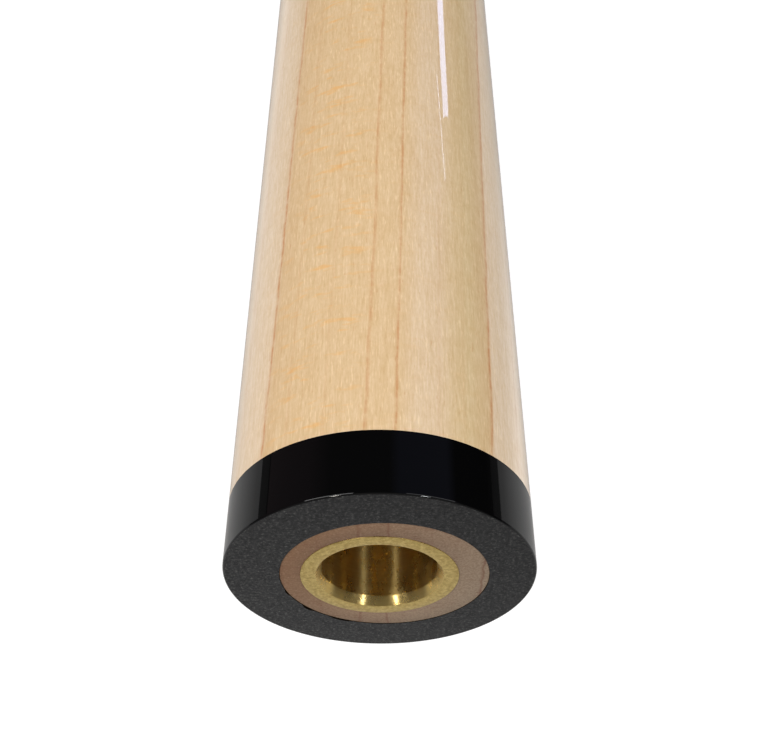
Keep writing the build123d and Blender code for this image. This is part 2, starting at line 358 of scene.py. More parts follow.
def side_and_ends(piece, side_material, end_material, low=-0.5 * mm, high=0.5 * mm):
    """Two finishes on one piece: the second on faces across the axis between two stations."""
    piece.data.materials.append(side_material)
    piece.data.materials.append(end_material)
    for face in piece.data.polygons:
        if abs(face.normal.y) > 0.9 and low < face.center.y < high:
            face.material_index = 1


taper_end = 431.8
joint_half = 10.65
tip_half = 6.45
collar_end = 4.8
tenon_half = 7.15
tenon_shift = 0.33
glue_gap = 0.02
end_grain_below = 0.03
insert_half = 5.4
insert_end = 32.0
drill_half = 3.3
drill_end = 40.0
ferrule_back = 704.6
front_tenon_half = 4.1
front_tenon_end = 724.6


def shaft_half(y):
    return tip_half if y >= taper_end else joint_half + (tip_half - joint_half) * y / taper_end


maple_shaft = lathe(
    "maple_shaft",
    [
        (drill_end + 1.6, 0.5, 0),
        (drill_end, drill_half, 0),
        (insert_end, drill_half, 0),
        (insert_end, insert_half, 0),
        (end_grain_below, insert_half, 0),
        (end_grain_below, insert_half + 0.9, 0.15),
        (end_grain_below, tenon_half - glue_gap, tenon_shift),
        (collar_end, tenon_half - glue_gap, tenon_shift),
        (collar_end, shaft_half(collar_end), 0),
        *[(y, shaft_half(y), 0) for y in (30, 80, 160, 260, 360, taper_end, 520, 620)],
        (ferrule_back, tip_half, 0),
        (ferrule_back, front_tenon_half, 0),
        (front_tenon_end, front_tenon_half, 0),
    ],
    sides=256,
    starts_closed=True,
    ends_closed=True,
)
soften(maple_shaft, 0.03, 2)
side_and_ends(maple_shaft, clear_maple, end_grain)
fit(maple_shaft, "shaft", "maple", "shaft_blank")


# Joint collar: a short ring of black linen phenolic glued over the tenon. Polished outside, and
# faced off flat with the tenon and the insert, which leaves its end dull grey and faintly speckled.

black = (0.0015, 0.0015, 0.0016, 1)
polished_black, tree, shader = finish("polished phenolic", IOR=1.5)
place = sizes(tree)
smears = cloud(tree, stretched(tree, place, (0.5, 0.2, 0.5)), 1.0, 4, 0.6)
tree.links.new(ramp(tree, smears, [(0.3, 0.02), (0.7, 0.06)]), shader.inputs["Roughness"])
dust = cloud(tree, place, 5.5, 2, 0.6)
specks = mix(tree, ramp(tree, dust, [(0.72, 0), (0.78, 0.5)]), black, grey(0.012))
tree.links.new(specks, shader.inputs["Base Color"])

sanded_black, tree, shader = finish("sanded phenolic", Roughness=0.62, Specular_IOR_Level=0.25)
place = sizes(tree)
fine = cloud(tree, place, 5.0, 3, 0.75)
patch = cloud(tree, place, 0.7, 3, 0.6)
dull = mix(tree, patch, (0.018, 0.018, 0.019, 1), (0.030, 0.030, 0.030, 1))
dull = mix(tree, ramp(tree, fine, [(0.53, 0), (0.68, 0.75)]), dull, (0.125, 0.123, 0.118, 1))
dull = mix(tree, ramp(tree, fine, [(0.34, 0.9), (0.47, 0)]), dull, (0.004, 0.004, 0.004, 1))
cloth = cloud(tree, place, 1.9, 3, 0.7)
dull = mix(tree, ramp(tree, cloth, [(0.34, 0.55), (0.50, 0)]), dull, (0.006, 0.006, 0.006, 1))
dull = mix(tree, ramp(tree, cloth, [(0.54, 0), (0.70, 0.35)]), dull, (0.075, 0.074, 0.072, 1))
apart = node(tree, "SeparateXYZ", (), {"Vector": place}).outputs
squares = [maths(tree, "POWER", apart[axis], 2) for axis in "XZ"]
from_axis = maths(tree, "SQRT", maths(tree, "ADD", *squares))
tracks = cloud(tree, node(tree, "CombineXYZ", (), {"X": from_axis}).outputs["Vector"], 6.0, 4, 0.7)
dull = mix(tree, ramp(tree, tracks, [(0.58, 0), (0.72, 0.4)]), dull, (0.075, 0.075, 0.078, 1))
# Painted light and shade: the face is lighter toward the lower left and darker toward the top, as the
# light falls
light_slope = [maths(tree, "MULTIPLY", apart[axis], rate) for axis, rate in (("X", 0.012), ("Z", 0.017))]
painted_light = maths(tree, "SUBTRACT", 0.92, maths(tree, "ADD", *light_slope))
painted_light = node(tree, "CombineXYZ", (), dict.fromkeys("XYZ", painted_light)).outputs["Vector"]
dull = mix(tree, 1.0, dull, painted_light, "MULTIPLY")
tree.links.new(dull, shader.inputs["Base Color"])
relief(tree, shader, fine, 0.55, 0.03)

eased_edge = 0.18
eased = [
    (eased_edge * (1 - cos(radians(a))), joint_half - eased_edge * (1 - sin(radians(a))), 0)
    for a in range(0, 91, 15)
]
chips = ((-2.42, 0.09, 0.20), (-2.02, 0.14, 0.17), (-2.80, 0.07, 0.10))
shaft_collar = lathe(
    "black_joint_collar",
    [
        (0, tenon_half, tenon_shift),
        (0, 8.6, 0.1),
        *eased,
        (collar_end, shaft_half(collar_end), 0),
        (collar_end, tenon_half, tenon_shift),
        (0, tenon_half, tenon_shift),
    ],
    sides=384,
)
# The glue line opens in three short chips at the lower left of the tenon. Each has the angle of its
# middle and half its spread, in radians, and its depth.
for vertex in shaft_collar.data.vertices:
    x, y, z = vertex.co
    reach = sqrt((x - tenon_shift * mm) ** 2 + z ** 2)
    if y < 0.1 * mm and reach < (tenon_half + 0.1) * mm:
        angle = atan2(z, x - tenon_shift * mm)
        chip = sum(
            depth * max(0, 1 - ((angle - middle) / spread) ** 2)
            for middle, spread, depth in chips
        )
        grow = 1 + chip * mm / reach
        vertex.co.x = (x - tenon_shift * mm) * grow + tenon_shift * mm
        vertex.co.z = z * grow
soften(shaft_collar, 0)
side_and_ends(shaft_collar, polished_black, sanded_black)
fit(shaft_collar, "shaft", "collar_phenolic", "shaft_collar")


# Joint insert: turned brass, glued into the bored tenon. A flat rim sanded with the face, a chamfered
# mouth, a smooth pilot bore, and the coarse thread deep inside.

tooled, takes, gives = group(
    "turned marks",
    {"Place": ("Vector", None), "Pitch": ("Float", 0.2), "Uneven": ("Float", 0.5)},
    {"Height": "Float", "Mark": "Float"},
)
apart = node(tooled, "SeparateXYZ", (), {"Vector": takes["Place"]}).outputs
swirl = maths(tooled, "MULTIPLY", cloud(tooled, takes["Place"], 0.6, 2, 0.5), takes["Uneven"])
turn = maths(tooled, "DIVIDE", maths(tooled, "ADD", apart["Y"], swirl), takes["Pitch"])
wave = maths(tooled, "SINE", maths(tooled, "MULTIPLY", turn, tau))
fine = cloud(tooled, stretched(tooled, takes["Place"], (0.04, 9.0, 0.04)), 1.0, 2, 0.6)
tooled.links.new(maths(tooled, "ADD", maths(tooled, "MULTIPLY", wave, 0.5), fine), gives["Height"])
tooled.links.new(fine, gives["Mark"])

bore_brass, tree, shader = finish(
    "turned brass", Metallic=1.0, Anisotropic=1.0, Anisotropic_Rotation=0.25
)
round_axis = node(tree, "Tangent", {"direction_type": "RADIAL", "axis": "Y"})
tree.links.new(round_axis.outputs["Tangent"], shader.inputs["Tangent"])
place = sizes(tree)
cut = use(tree, tooled, {"Place": place, "Pitch": 0.21, "Uneven": 0.0})
stain = cloud(tree, stretched(tree, place, (1.2, 0.5, 1.2)), 1.0, 4, 0.65)
tone = mix(tree, stain, (0.62, 0.40, 0.115, 1), (0.86, 0.62, 0.22, 1))
tree.links.new(mix(tree, cut["Mark"], tone, (0.88, 0.68, 0.28, 1)), shader.inputs["Base Color"])
tree.links.new(ramp(tree, stain, [(0.3, 0.25), (0.7, 0.31)]), shader.inputs["Roughness"])
relief(tree, shader, cut["Height"], 0.10, 0.012)

rim_brass, tree, shader = finish("sanded brass", Metallic=1.0, Roughness=0.42)
place = sizes(tree)
fine = cloud(tree, place, 3.0, 4, 0.75)
spots = ramp(tree, fine, [(0.36, 0), (0.64, 1)])
tone = mix(tree, spots, (0.52, 0.35, 0.10, 1), (0.82, 0.64, 0.25, 1))
tree.links.new(tone, shader.inputs["Base Color"])
relief(tree, shader, fine, 0.4, 0.01)

pitch = 25.4 / 14
pilot_depth = 12.5
thread_end = 28.0
mouth_half = 4.37
mouth_depth = 0.62
bore_half = 3.99
groove_half = 4.05
thread_bore_half = 3.62


# A new plane's corners in order round it
round_the_plane = (0, 1, 3, 2)


def thread_ridge(name, base, crest, start, turns, crest_flat=0.25, steps=96):
    """Right-hand thread ridge round the axis, a closed bar of trapezium section run up a helix."""
    bpy.ops.object.select_all(action="DESELECT")
    bpy.ops.mesh.primitive_plane_add(size=mm)
    ridge = bpy.context.object
    ridge.name = name
    half_foot = pitch * 0.46
    half_flat = crest_flat / 2
    corners = ((base, -half_foot), (crest, -half_flat), (crest, half_flat), (base, half_foot))
    for index, (reach, along) in zip(round_the_plane, corners):
        ridge.data.vertices[index].co = (reach * mm, (start + along) * mm, 0)
    wind = ridge.modifiers.new("wind", "SCREW")
    wind.axis = "Y"
    wind.screw_offset = pitch * mm
    wind.iterations = turns
    wind.steps = wind.render_steps = steps
    bpy.ops.object.modifier_apply(modifier=wind.name)
    bpy.ops.object.mode_set(mode="EDIT")
    bpy.ops.mesh.select_all(action="SELECT")
    bpy.ops.mesh.remove_doubles(threshold=0.0005 * mm)
    bpy.ops.mesh.fill_holes(sides=4)
    bpy.ops.mesh.normals_make_consistent(inside=False)
    bpy.ops.object.mode_set(mode="OBJECT")
    return ridge


def join(into, *others):
    bpy.ops.object.select_all(action="DESELECT")
    for other in (*others, into):
        other.select_set(True)
    bpy.context.view_layer.objects.active = into
    bpy.ops.object.join()
    return into


insert = lathe(
    "brass_insert",
    on_axis([
        (0, mouth_half),
        (mouth_depth, bore_half),
        (pilot_depth, bore_half),
        (pilot_depth, groove_half),
        (thread_end, groove_half),
        (thread_end, thread_bore_half),
        (insert_end, thread_bore_half),
        (insert_end, insert_half),
        (0, insert_half),
        (0, mouth_half),
    ]),
    sides=256,
)
soften(insert, 0.03, 2)
inner_thread = thread_ridge("inner_thread", 4.2, 3.32, pilot_depth + pitch, 6)
soften(inner_thread, 0, 0)
join(insert, inner_thread)
side_and_ends(insert, bore_brass, rim_brass)
fit(insert, "shaft", "insert_brass", "joint_insert")


# Ferrule, pad and tip: a cast resin sleeve glued on the shaft's front tenon, a disc of black fibre,
# and a pressed leather tip, shaped to a dome and dusted with chalk.

resin, tree, shader = finish(
    "ferrule resin", Roughness=0.28, Subsurface_Weight=0.15, Subsurface_Scale=2 * mm
)
place = sizes(tree)
faint = cloud(tree, stretched(tree, place, (0.5, 2.5, 0.5)), 1.0, 4, 0.6)
smudge = ramp(tree, cloud(tree, place, 0.35, 4, 0.6), [(0.48, 0), (0.75, 0.35)])
tone = mix(tree, faint, (0.80, 0.77, 0.68, 1), (0.87, 0.85, 0.77, 1))
tree.links.new(mix(tree, smudge, tone, (0.45, 0.55, 0.66, 1)), shader.inputs["Base Color"])
cut = use(tree, tooled, {"Place": place, "Pitch": 0.35, "Uneven": 0.6})
relief(tree, shader, cut["Height"], 0.12, 0.01)

pad_back = 730.0
pad_front = 731.0
vent_half = 0.5
ferrule = lathe(
    "resin_ferrule",
    on_axis([
        (ferrule_back, front_tenon_half),
        (ferrule_back, tip_half),
        (pad_back, tip_half),
        (pad_back, vent_half),
        (front_tenon_end, vent_half),
        (front_tenon_end, front_tenon_half),
        (ferrule_back, front_tenon_half),
    ]),
)
soften(ferrule, 0.06, 2)
ferrule.data.materials.append(resin)
fit(ferrule, "shaft", "ferrule_resin", "ferrule")

fibre, tree, shader = finish("vulcanised fibre", Roughness=0.6)
flakes = cloud(tree, sizes(tree), 4.0, 4, 0.7)
tree.links.new(mix(tree, flakes, grey(0.012), grey(0.035)), shader.inputs["Base Color"])
disc = [(pad_back, 1.0), (pad_back, tip_half), (pad_front, tip_half), (pad_front, 1.0)]
pad = lathe("fibre_pad", on_axis(disc), 192, True, True)
soften(pad, 0.08, 2)
pad.data.materials.append(fibre)
fit(pad, "shaft", "pad_fibre", "tip_pad")

leather, tree, shader = finish("chalked leather", Roughness=0.9, Specular_IOR_Level=0.2)
place = sizes(tree)
apart = node(tree, "SeparateXYZ", (), {"Vector": place}).outputs
pressed = cloud(tree, stretched(tree, place, (0.5, 5.0, 0.5)), 1.0, 4, 0.6)
side_tone = mix(tree, pressed, (0.07, 0.035, 0.018, 1), (0.22, 0.12, 0.065, 1))
powder = cloud(tree, place, 2.2, 5, 0.7)
blue = mix(tree, powder, (0.03, 0.12, 0.25, 1), (0.13, 0.30, 0.48, 1))
chalk_from = 734.4
height = maths(tree, "ADD", apart["Y"], maths(tree, "MULTIPLY", powder, 1.2))
height = maths(tree, "DIVIDE", maths(tree, "SUBTRACT", height, chalk_from), 2.0)
top = ramp(tree, height, [(0.0, 0), (0.7, 1)])
tree.links.new(mix(tree, top, side_tone, blue), shader.inputs["Base Color"])
relief(tree, shader, powder, 0.8, 0.08)

tip_front = 736.6
dome_radius = 10.6
dome_centre = tip_front - dome_radius
dome = [
    (dome_centre + sqrt(dome_radius ** 2 - r ** 2), r)
    for r in (6.3, 5.9, 5.2, 4.4, 3.5, 2.5, 1.5, 0.6)
]
tip = lathe(
    "leather_tip_domed",
    on_axis([
        (pad_front, 1.0),
        (pad_front, tip_half - 0.05),
        (pad_front + 1.3, tip_half + 0.04),
        (pad_front + 2.8, tip_half),
        *dome,
    ]),
    192,
    True,
    True,
)
soften(tip, 0.1, 2, 60)
tip.data.materials.append(leather)
fit(tip, "shaft", "tip_leather", "leather_tip")


# Joint pin: turned and rolled from steel, glued and screwed into the forearm. In front of the joint
# face stand the smooth pilot, a relief neck, four turns of coarse right-hand thread and a round nose.

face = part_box("butt_collar")[1][1] / mm
shank_end = 38.0
shank_half = 4.75
pilot_half = 3.95
nose_half = 3.12
neck_half = nose_half + 0.1
neck_length = 1.1

pin_steel, tree, shader = finish("turned steel", Metallic=1.0, Roughness=0.26)
place = sizes(tree)
cut = use(tree, tooled, {"Place": place, "Pitch": 0.18, "Uneven": 0.3})
stain = cloud(tree, place, 0.5, 4, 0.6)
tone = mix(tree, stain, (0.56, 0.55, 0.53, 1), (0.68, 0.67, 0.65, 1))
tree.links.new(tone, shader.inputs["Base Color"])
tree.links.new(ramp(tree, stain, [(0.3, 0.22), (0.7, 0.28)]), shader.inputs["Roughness"])
relief(tree, shader, cut["Height"], 0.25, 0.01)

pin_thread_start = pilot_depth + pitch / 2
nose_base = face + pilot_depth + 4 * pitch
nose_end = nose_base + 10.0
nose_round = 3.0
nose_flat = 0.28
nose = [
    (
        nose_end - nose_round + nose_round * sin(radians(a)),
        nose_half * (nose_flat + (1 - nose_flat) * cos(radians(a))),
    )
    for a in range(0, 91, 9)
]
pin = lathe(
    "steel_joint_pin",
    on_axis([
        (face - shank_end, 1.0),
        (face - shank_end, shank_half),
        (face, shank_half),
        (face, pilot_half),
        (face + pilot_depth - neck_length - 0.4, pilot_half),
        (face + pilot_depth - neck_length, neck_half),
        (face + pilot_depth, neck_half),
        (nose_base, neck_half),
        (nose_base + 0.3, nose_half),
        *nose,
    ]),
    256,
    True,
    True,
)
soften(pin, 0.08, 3)
outer_thread = thread_ridge("outer_thread", 3.0, 3.92, face + pin_thread_start, 3, 0.3)
soften(outer_thread, 0.05, 2)
join(pin, outer_thread)
pin.data.materials.append(pin_steel)
fit(pin, "butt", "pin_steel", "joint_pin")


# Butt collar, ring and forearm: a longer black collar that matches the shaft's, a thin nickel silver
# ring, and the maple forearm, whose tenon carries both and holds the pin.

butt_half_end = 15.6
cap_back = 724.6


def butt_half(behind):
    return joint_half + (butt_half_end - joint_half) * behind / cap_back


def band(name, front, back, inner, rounding):
    """A turned ring on the butt, between two distances behind the joint face."""
    rings = [
        (face - front, inner),
        (face - front, butt_half(front)),
        (face - back, butt_half(back)),
        (face - back, inner),
        (face - front, inner),
    ]
    made = lathe(name, on_axis(rings))
    soften(made, rounding, 3)
    return made


ring_metal, tree, shader = finish("nickel silver", Metallic=1.0, Roughness=0.14)
place = sizes(tree)
cut = use(tree, tooled, {"Place": place, "Pitch": 0.09, "Uneven": 0.1})
tone = mix(tree, cut["Mark"], (0.66, 0.64, 0.58, 1), (0.82, 0.80, 0.75, 1))
tree.links.new(tone, shader.inputs["Base Color"])
relief(tree, shader, cut["Height"], 0.12, 0.006)

butt_collar_back = 12.7
joint_ring_back = 14.3
at_face = ((face - 0.5) * mm, (face + 0.5) * mm)
butt_collar = band("black_butt_collar", 0, butt_collar_back, tenon_half, 0.12)
side_and_ends(butt_collar, polished_black, sanded_black, *at_face)
fit(butt_collar, "butt", "collar_phenolic", "butt_collar")

joint_ring = band("joint_trim_ring", butt_collar_back, joint_ring_back, tenon_half, 0.04)
joint_ring.data.materials.append(ring_metal)
fit(joint_ring, "butt", "ring_nickel_silver", "joint_ring")

forearm_back = 318.0
stud_half = 4.75
stud_depth = 25.0
forearm = lathe(
    "maple_forearm",
    on_axis([
        (face - shank_end, 0.5),
        (face - shank_end, shank_half),
        (face, shank_half),
        (face, tenon_half - glue_gap),
        (face - joint_ring_back, tenon_half - glue_gap),
        (face - joint_ring_back, butt_half(joint_ring_back)),
        *[(face - behind, butt_half(behind)) for behind in (60, 120, 180, 240)],
        (face - forearm_back, butt_half(forearm_back)),
        (face - forearm_back, stud_half),
        (face - forearm_back + stud_depth, stud_half),
    ]),
    256,
    True,
    True,
)
soften(forearm, 0.03, 2)
side_and_ends(forearm, clear_maple, end_grain, *at_face)
fit(forearm, "butt", "maple", "forearm")


# Handle: a maple core with a stud into the forearm and a weight bolt in its end, black rings, and the
# grip of pressed linen thread wound on in one layer, dark with pale flecks.

zinc, tree, shader = finish("zinc plated steel", Metallic=1.0, Roughness=0.38)
haze = cloud(tree, sizes(tree), 0.8, 5, 0.65)
tone = mix(tree, haze, (0.34, 0.34, 0.35, 1), (0.56, 0.56, 0.57, 1))
tree.links.new(tone, shader.inputs["Base Color"])
tree.links.new(ramp(tree, haze, [(0.3, 0.28), (0.7, 0.46)]), shader.inputs["Roughness"])


for name, material in (("handle_stud", zinc), ("weight_bolt", zinc), ("handle_core", clear_maple)):
    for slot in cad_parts[name].material_slots:
        slot.material = material

wrap_front = 323.0
wrap_back = 628.0
sleeve_front = 633.0
front_core_half = 8.0
back_core_half = 9.5
wrap_front_ring = band("wrap_front_trim", forearm_back, wrap_front, front_core_half, 0.1)
wrap_front_ring.data.materials.append(polished_black)
fit(wrap_front_ring, "butt", "collar_phenolic", "wrap_front_ring")
wrap_back_ring = band("wrap_back_trim", wrap_back, sleeve_front, back_core_half, 0.1)
wrap_back_ring.data.materials.append(polished_black)
fit(wrap_back_ring, "butt", "collar_phenolic", "wrap_back_ring")

linen, tree, shader = finish("pressed linen", Roughness=0.72, Sheen_Weight=0.25, Sheen_Roughness=0.4)
place = sizes(tree)
strand = cloud(tree, stretched(tree, place, (0.9, 7.0, 0.9)), 1.0, 4, 0.65)
tone = mix(tree, strand, (0.008, 0.010, 0.018, 1), (0.030, 0.036, 0.055, 1))
flecks = cloud(tree, stretched(tree, place, (0.55, 1.7, 0.55)), 1.3, 2, 0.5)
tone = mix(tree, ramp(tree, flecks, [(0.62, 0), (0.66, 0.85)]), tone, (0.50, 0.50, 0.47, 1))
tree.links.new(tone, shader.inputs["Base Color"])
relief(tree, shader, strand, 0.5, 0.05)

# One length of thread: the open outline of its outer side, wound up a helix and then spread to follow
# the handle's taper, over a plain under layer that closes the gaps
thread_width = 0.61
thread_sink = 0.15
windings = int((wrap_back - wrap_front) / thread_width) + 1
wound_half = butt_half(wrap_front)
bpy.ops.object.select_all(action="DESELECT")
bpy.ops.mesh.primitive_plane_add(size=mm)
wound = bpy.context.object
wound.name = "wound_thread"
outline = ((-0.5, -thread_sink), (-0.2, 0.0), (0.2, 0.0), (0.5, -thread_sink))
for index, (along, proud) in zip(round_the_plane, outline):
    y = face - wrap_back + along * thread_width
    wound.data.vertices[index].co = ((wound_half + proud) * mm, y * mm, 0)
bpy.ops.object.mode_set(mode="EDIT")
bpy.ops.mesh.select_mode(type="EDGE")
bpy.ops.mesh.select_all(action="SELECT")
bpy.ops.mesh.delete(type="ONLY_FACE")
bpy.ops.mesh.select_all(action="DESELECT")
bpy.ops.object.mode_set(mode="OBJECT")
for side in wound.data.edges:
    ends = [wound.data.vertices[index].co.x for index in side.vertices]
    side.select = max(ends) < (wound_half - thread_sink / 2) * mm
bpy.ops.object.mode_set(mode="EDIT")
bpy.ops.mesh.delete(type="EDGE")
bpy.ops.object.mode_set(mode="OBJECT")
wind = wound.modifiers.new("wind", "SCREW")
wind.axis = "Y"
wind.screw_offset = thread_width * mm
wind.iterations = windings
wind.steps = wind.render_steps = 48
wind.use_merge_vertices = True
wind.merge_threshold = 0.001 * mm
bpy.ops.object.modifier_apply(modifier=wind.name)
for vertex in wound.data.vertices:
    y = min(max(vertex.co.y, (face - wrap_back) * mm), (face - wrap_front) * mm)
    grow = butt_half(face - y / mm) / wound_half
    vertex.co = (vertex.co.x * grow, y, vertex.co.z * grow)
bpy.ops.object.mode_set(mode="EDIT")
bpy.ops.mesh.select_all(action="SELECT")
bpy.ops.mesh.remove_doubles(threshold=0.0005 * mm)
bpy.ops.mesh.dissolve_degenerate(threshold=0.0005 * mm)
bpy.ops.mesh.normals_make_consistent(inside=False)
bpy.ops.object.mode_set(mode="OBJECT")
soften(wound, 0, 0)
wrap_thickness = 0.6
under_sink = 0.12
under = lathe(
    "linen_grip",
    on_axis([
        (face - wrap_front, butt_half(wrap_front) - wrap_thickness),
        (face - wrap_front, butt_half(wrap_front) - under_sink),
        (face - wrap_back, butt_half(wrap_back) - under_sink),
        (face - wrap_back, butt_half(wrap_back) - wrap_thickness),
        (face - wrap_front, butt_half(wrap_front) - wrap_thickness),
    ]),
    96,
)
soften(under, 0, 0)
join(under, wound)
under.data.materials.append(linen)
fit(under, "butt", "wrap_linen", "linen_wrap")


# Butt sleeve, ring and cap: a sleeve of stained maple, a thin nickel silver ring, and the black cap
# with a rounded back edge, screwed to the core's end.

sleeve_back = 699.0
cap_front = 701.0

stained, tree, shader = finish(
    "stained maple",
    Roughness=0.42,
    Specular_IOR_Level=0.25,
    Coat_Weight=1.0,
    Coat_Roughness=0.02,
    Coat_IOR=1.5,
)
stains = {
    "Wood": (0.150, 0.042, 0.017, 1),
    "Pale": (0.240, 0.078, 0.028, 1),
    "Green": (0.085, 0.024, 0.010, 1),
    # The painted sheen band near each side of the stock, in the stain's colour
    "Painted sheen": (0.280, 0.092, 0.034, 1),
    "Line": (0.014, 0.004, 0.002, 1),
    "Fleck": (0.240, 0.080, 0.030, 1),
    "Shine": (0.26, 0.085, 0.032, 1),
}
drawn = use(tree, grain, {"Place": sizes(tree), **stains})
tree.links.new(drawn["Color"], shader.inputs["Base Color"])

sleeve = band("stained_sleeve", sleeve_front, sleeve_back, back_core_half, 0.04)
sleeve.data.materials.append(stained)
fit(sleeve, "butt", "sleeve_wood", "butt_sleeve")
cap_ring = band("cap_trim_ring", sleeve_back, cap_front, back_core_half, 0.04)
cap_ring.data.materials.append(ring_metal)
fit(cap_ring, "butt", "ring_nickel_silver", "cap_ring")

cap_rounding = 2.5
cap_pocket_end = 712.0
screw_hole = 3.1
cap_corner = [
    (
        face - cap_back + cap_rounding * (1 - sin(radians(a))),
        butt_half_end - cap_rounding * (1 - cos(radians(a))),
    )
    for a in range(0, 91, 10)
]
cap = lathe(
    "black_butt_cap",
    on_axis([
        (face - cap_front, back_core_half),
        (face - cap_front, butt_half(cap_front)),
        *cap_corner,
        (face - cap_back, screw_hole),
        (face - cap_pocket_end, screw_hole),
        (face - cap_pocket_end, back_core_half),
        (face - cap_front, back_core_half),
    ]),
    256,
)
soften(cap, 0.08, 2)
cap.data.materials.append(polished_black)
fit(cap, "butt", "collar_phenolic", "butt_cap")


# Bumper: a moulded rubber foot, free to turn on its socket head screw between the cap and a washer
# that sits in the foot's pocket. The screw runs into the weight bolt.

rubber, tree, shader = finish("moulded rubber", Roughness=0.6, Specular_IOR_Level=0.35)
place = sizes(tree)
bloom = cloud(tree, place, 0.45, 5, 0.65)
dust = cloud(tree, place, 6.0, 3, 0.7)
tone = mix(tree, bloom, (0.012, 0.012, 0.012, 1), (0.030, 0.030, 0.029, 1))
tone = mix(tree, ramp(tree, dust, [(0.62, 0), (0.75, 0.5)]), tone, grey(0.09))
tree.links.new(tone, shader.inputs["Base Color"])
tree.links.new(ramp(tree, bloom, [(0.3, 0.5), (0.7, 0.72)]), shader.inputs["Roughness"])
relief(tree, shader, dust, 0.5, 0.04)

bumper_front = 724.7
bumper_back = 736.6
bumper_front_half = 13.0
bumper_back_half = 11.5
bumper_round = 2.6
bumper_flare = 0.6
pocket_half = 6.8
pocket_floor = 729.6
bumper_hole = 3.06
foot = [
    (
        face - bumper_back + bumper_round * (1 - sin(radians(a))),
        bumper_back_half - bumper_round * (1 - cos(radians(a))) + bumper_flare * (1 - sin(radians(a))),
    )
    for a in range(0, 91, 10)
]
bumper = lathe(
    "rubber_foot",
    on_axis([
        (face - bumper_front, bumper_hole),
        (face - bumper_front, bumper_front_half),
        *foot,
        (face - bumper_back, pocket_half),
        (face - pocket_floor, pocket_half),
        (face - pocket_floor, bumper_hole),
        (face - bumper_front, bumper_hole),
    ]),
)
soften(bumper, 0.2, 3)
bumper.data.materials.append(rubber)
fit(bumper, "bumper", "bumper_rubber", "bumper")

washer_front = 729.7
washer_back = 730.9
washer_half = 6.0
washer = lathe(
    "steel_washer",
    on_axis([
        (face - washer_front, screw_hole),
        (face - washer_front, washer_half),
        (face - washer_back, washer_half),
        (face - washer_back, screw_hole),
        (face - washer_front, screw_hole),
    ]),
    128,
)
soften(washer, 0.12, 3)
washer.data.materials.append(zinc)
fit(washer, "butt", "hardware_steel", "bumper_washer")

blacked, tree, shader = finish("oiled black steel", Metallic=0.9, Roughness=0.35)
wear = cloud(tree, sizes(tree), 1.6, 5, 0.7)
tone = mix(tree, ramp(tree, wear, [(0.5, 0), (0.75, 0.7)]), grey(0.05), (0.20, 0.17, 0.14, 1))
tree.links.new(tone, shader.inputs["Base Color"])
tree.links.new(ramp(tree, wear, [(0.3, 0.28), (0.7, 0.45)]), shader.inputs["Roughness"])

head_front = washer_back
head_back = 734.3
socket_depth = 2.0
socket_flat = 2.0
head_half = 4.8
screw_half = 3.0
screw_front = 698.0


def extrude_back(distance):
    """Draws the open edge of the screw out toward the bumper, by millimetres."""
    move = (0, -distance * mm, 0)
    bpy.ops.mesh.extrude_edges_move(TRANSFORM_OT_translate={"value": move})


# Made from the floor of its hexagon socket outward: the socket's wall, the ring of the head, the head's
# side, its underside and the shank
bpy.ops.object.select_all(action="DESELECT")
bpy.ops.mesh.primitive_circle_add(
    vertices=6,
    radius=socket_flat / cos(pi / 6) * mm,
    fill_type="NGON",
    location=(0, (face - head_back + socket_depth) * mm, 0),
    rotation=(pi / 2, 0, 0),
)
screw = bpy.context.object
screw.name = "socket_head_screw"
bpy.ops.object.transform_apply(location=True, rotation=True, scale=True)
bpy.ops.object.mode_set(mode="EDIT")
bpy.ops.mesh.select_mode(type="EDGE")
bpy.ops.mesh.select_all(action="SELECT")
bpy.ops.mesh.subdivide(number_cuts=7)
bpy.ops.mesh.select_all(action="SELECT")
bpy.ops.mesh.region_to_loop()
extrude_back(socket_depth)
extrude_back(0)
bpy.ops.object.mode_set(mode="OBJECT")
for vertex in [vertex for vertex in screw.data.vertices if vertex.select]:
    reach = sqrt(vertex.co.x ** 2 + vertex.co.z ** 2)
    vertex.co.x *= head_half * mm / reach
    vertex.co.z *= head_half * mm / reach
bpy.ops.object.mode_set(mode="EDIT")
extrude_back(head_front - head_back)
extrude_back(0)
shrink = screw_half / head_half
bpy.ops.transform.resize(value=(shrink, 1, shrink), center_override=(0, (face - head_front) * mm, 0))
extrude_back(screw_front - head_front)
bpy.ops.mesh.edge_face_add()
bpy.ops.mesh.select_all(action="SELECT")
bpy.ops.mesh.remove_doubles(threshold=0.001 * mm)
bpy.ops.mesh.normals_make_consistent(inside=False)
bpy.ops.object.mode_set(mode="OBJECT")
soften(screw, 0.15, 3)
screw.data.materials.append(blacked)
fit(screw, "butt", "hardware_steel", "bumper_screw")


# Floor, lights and camera: white paper on a bench, two softboxes overhead and one at each side, two
# small lamps in front for the glints, and two narrow ones beyond the shaft, which the gloss coat shows.
# The floor and the room are plain and pale to the camera, and dimmer and darker in the gloss.

floor_height = -butt_half_end * mm
sheet_half = 0.14
bpy.ops.object.select_all(action="DESELECT")
bpy.ops.mesh.primitive_plane_add(size=12, location=(0, 0, floor_height))
floor = bpy.context.object
floor.name = "floor"
bpy.ops.object.transform_apply(location=True, rotation=True, scale=True)
paper, tree, shader = finish("white paper", Roughness=0.9, Specular_IOR_Level=0.0)
apart = node(tree, "SeparateXYZ", (), {"Vector": sizes(tree, (1, 1, 1))}).outputs
aside = maths(tree, "ABSOLUTE", apart["X"])
seen = node(tree, "LightPath").outputs["Is Camera Ray"]
lit = maths(tree, "MAXIMUM", maths(tree, "LESS_THAN", aside, sheet_half), seen)
tree.links.new(mix(tree, lit, grey(0.04), grey(0.24)), shader.inputs["Base Color"])
# Close round the shaft the paper glows for all but camera rays: a painted pool of bounce light that
# lights the face
bounce_glow = ramp(tree, aside, [(0.0, 0.27), (0.09, 0.0)])
tree.links.new(mix(tree, seen, bounce_glow, grey(0.85)), shader.inputs["Emission Color"])
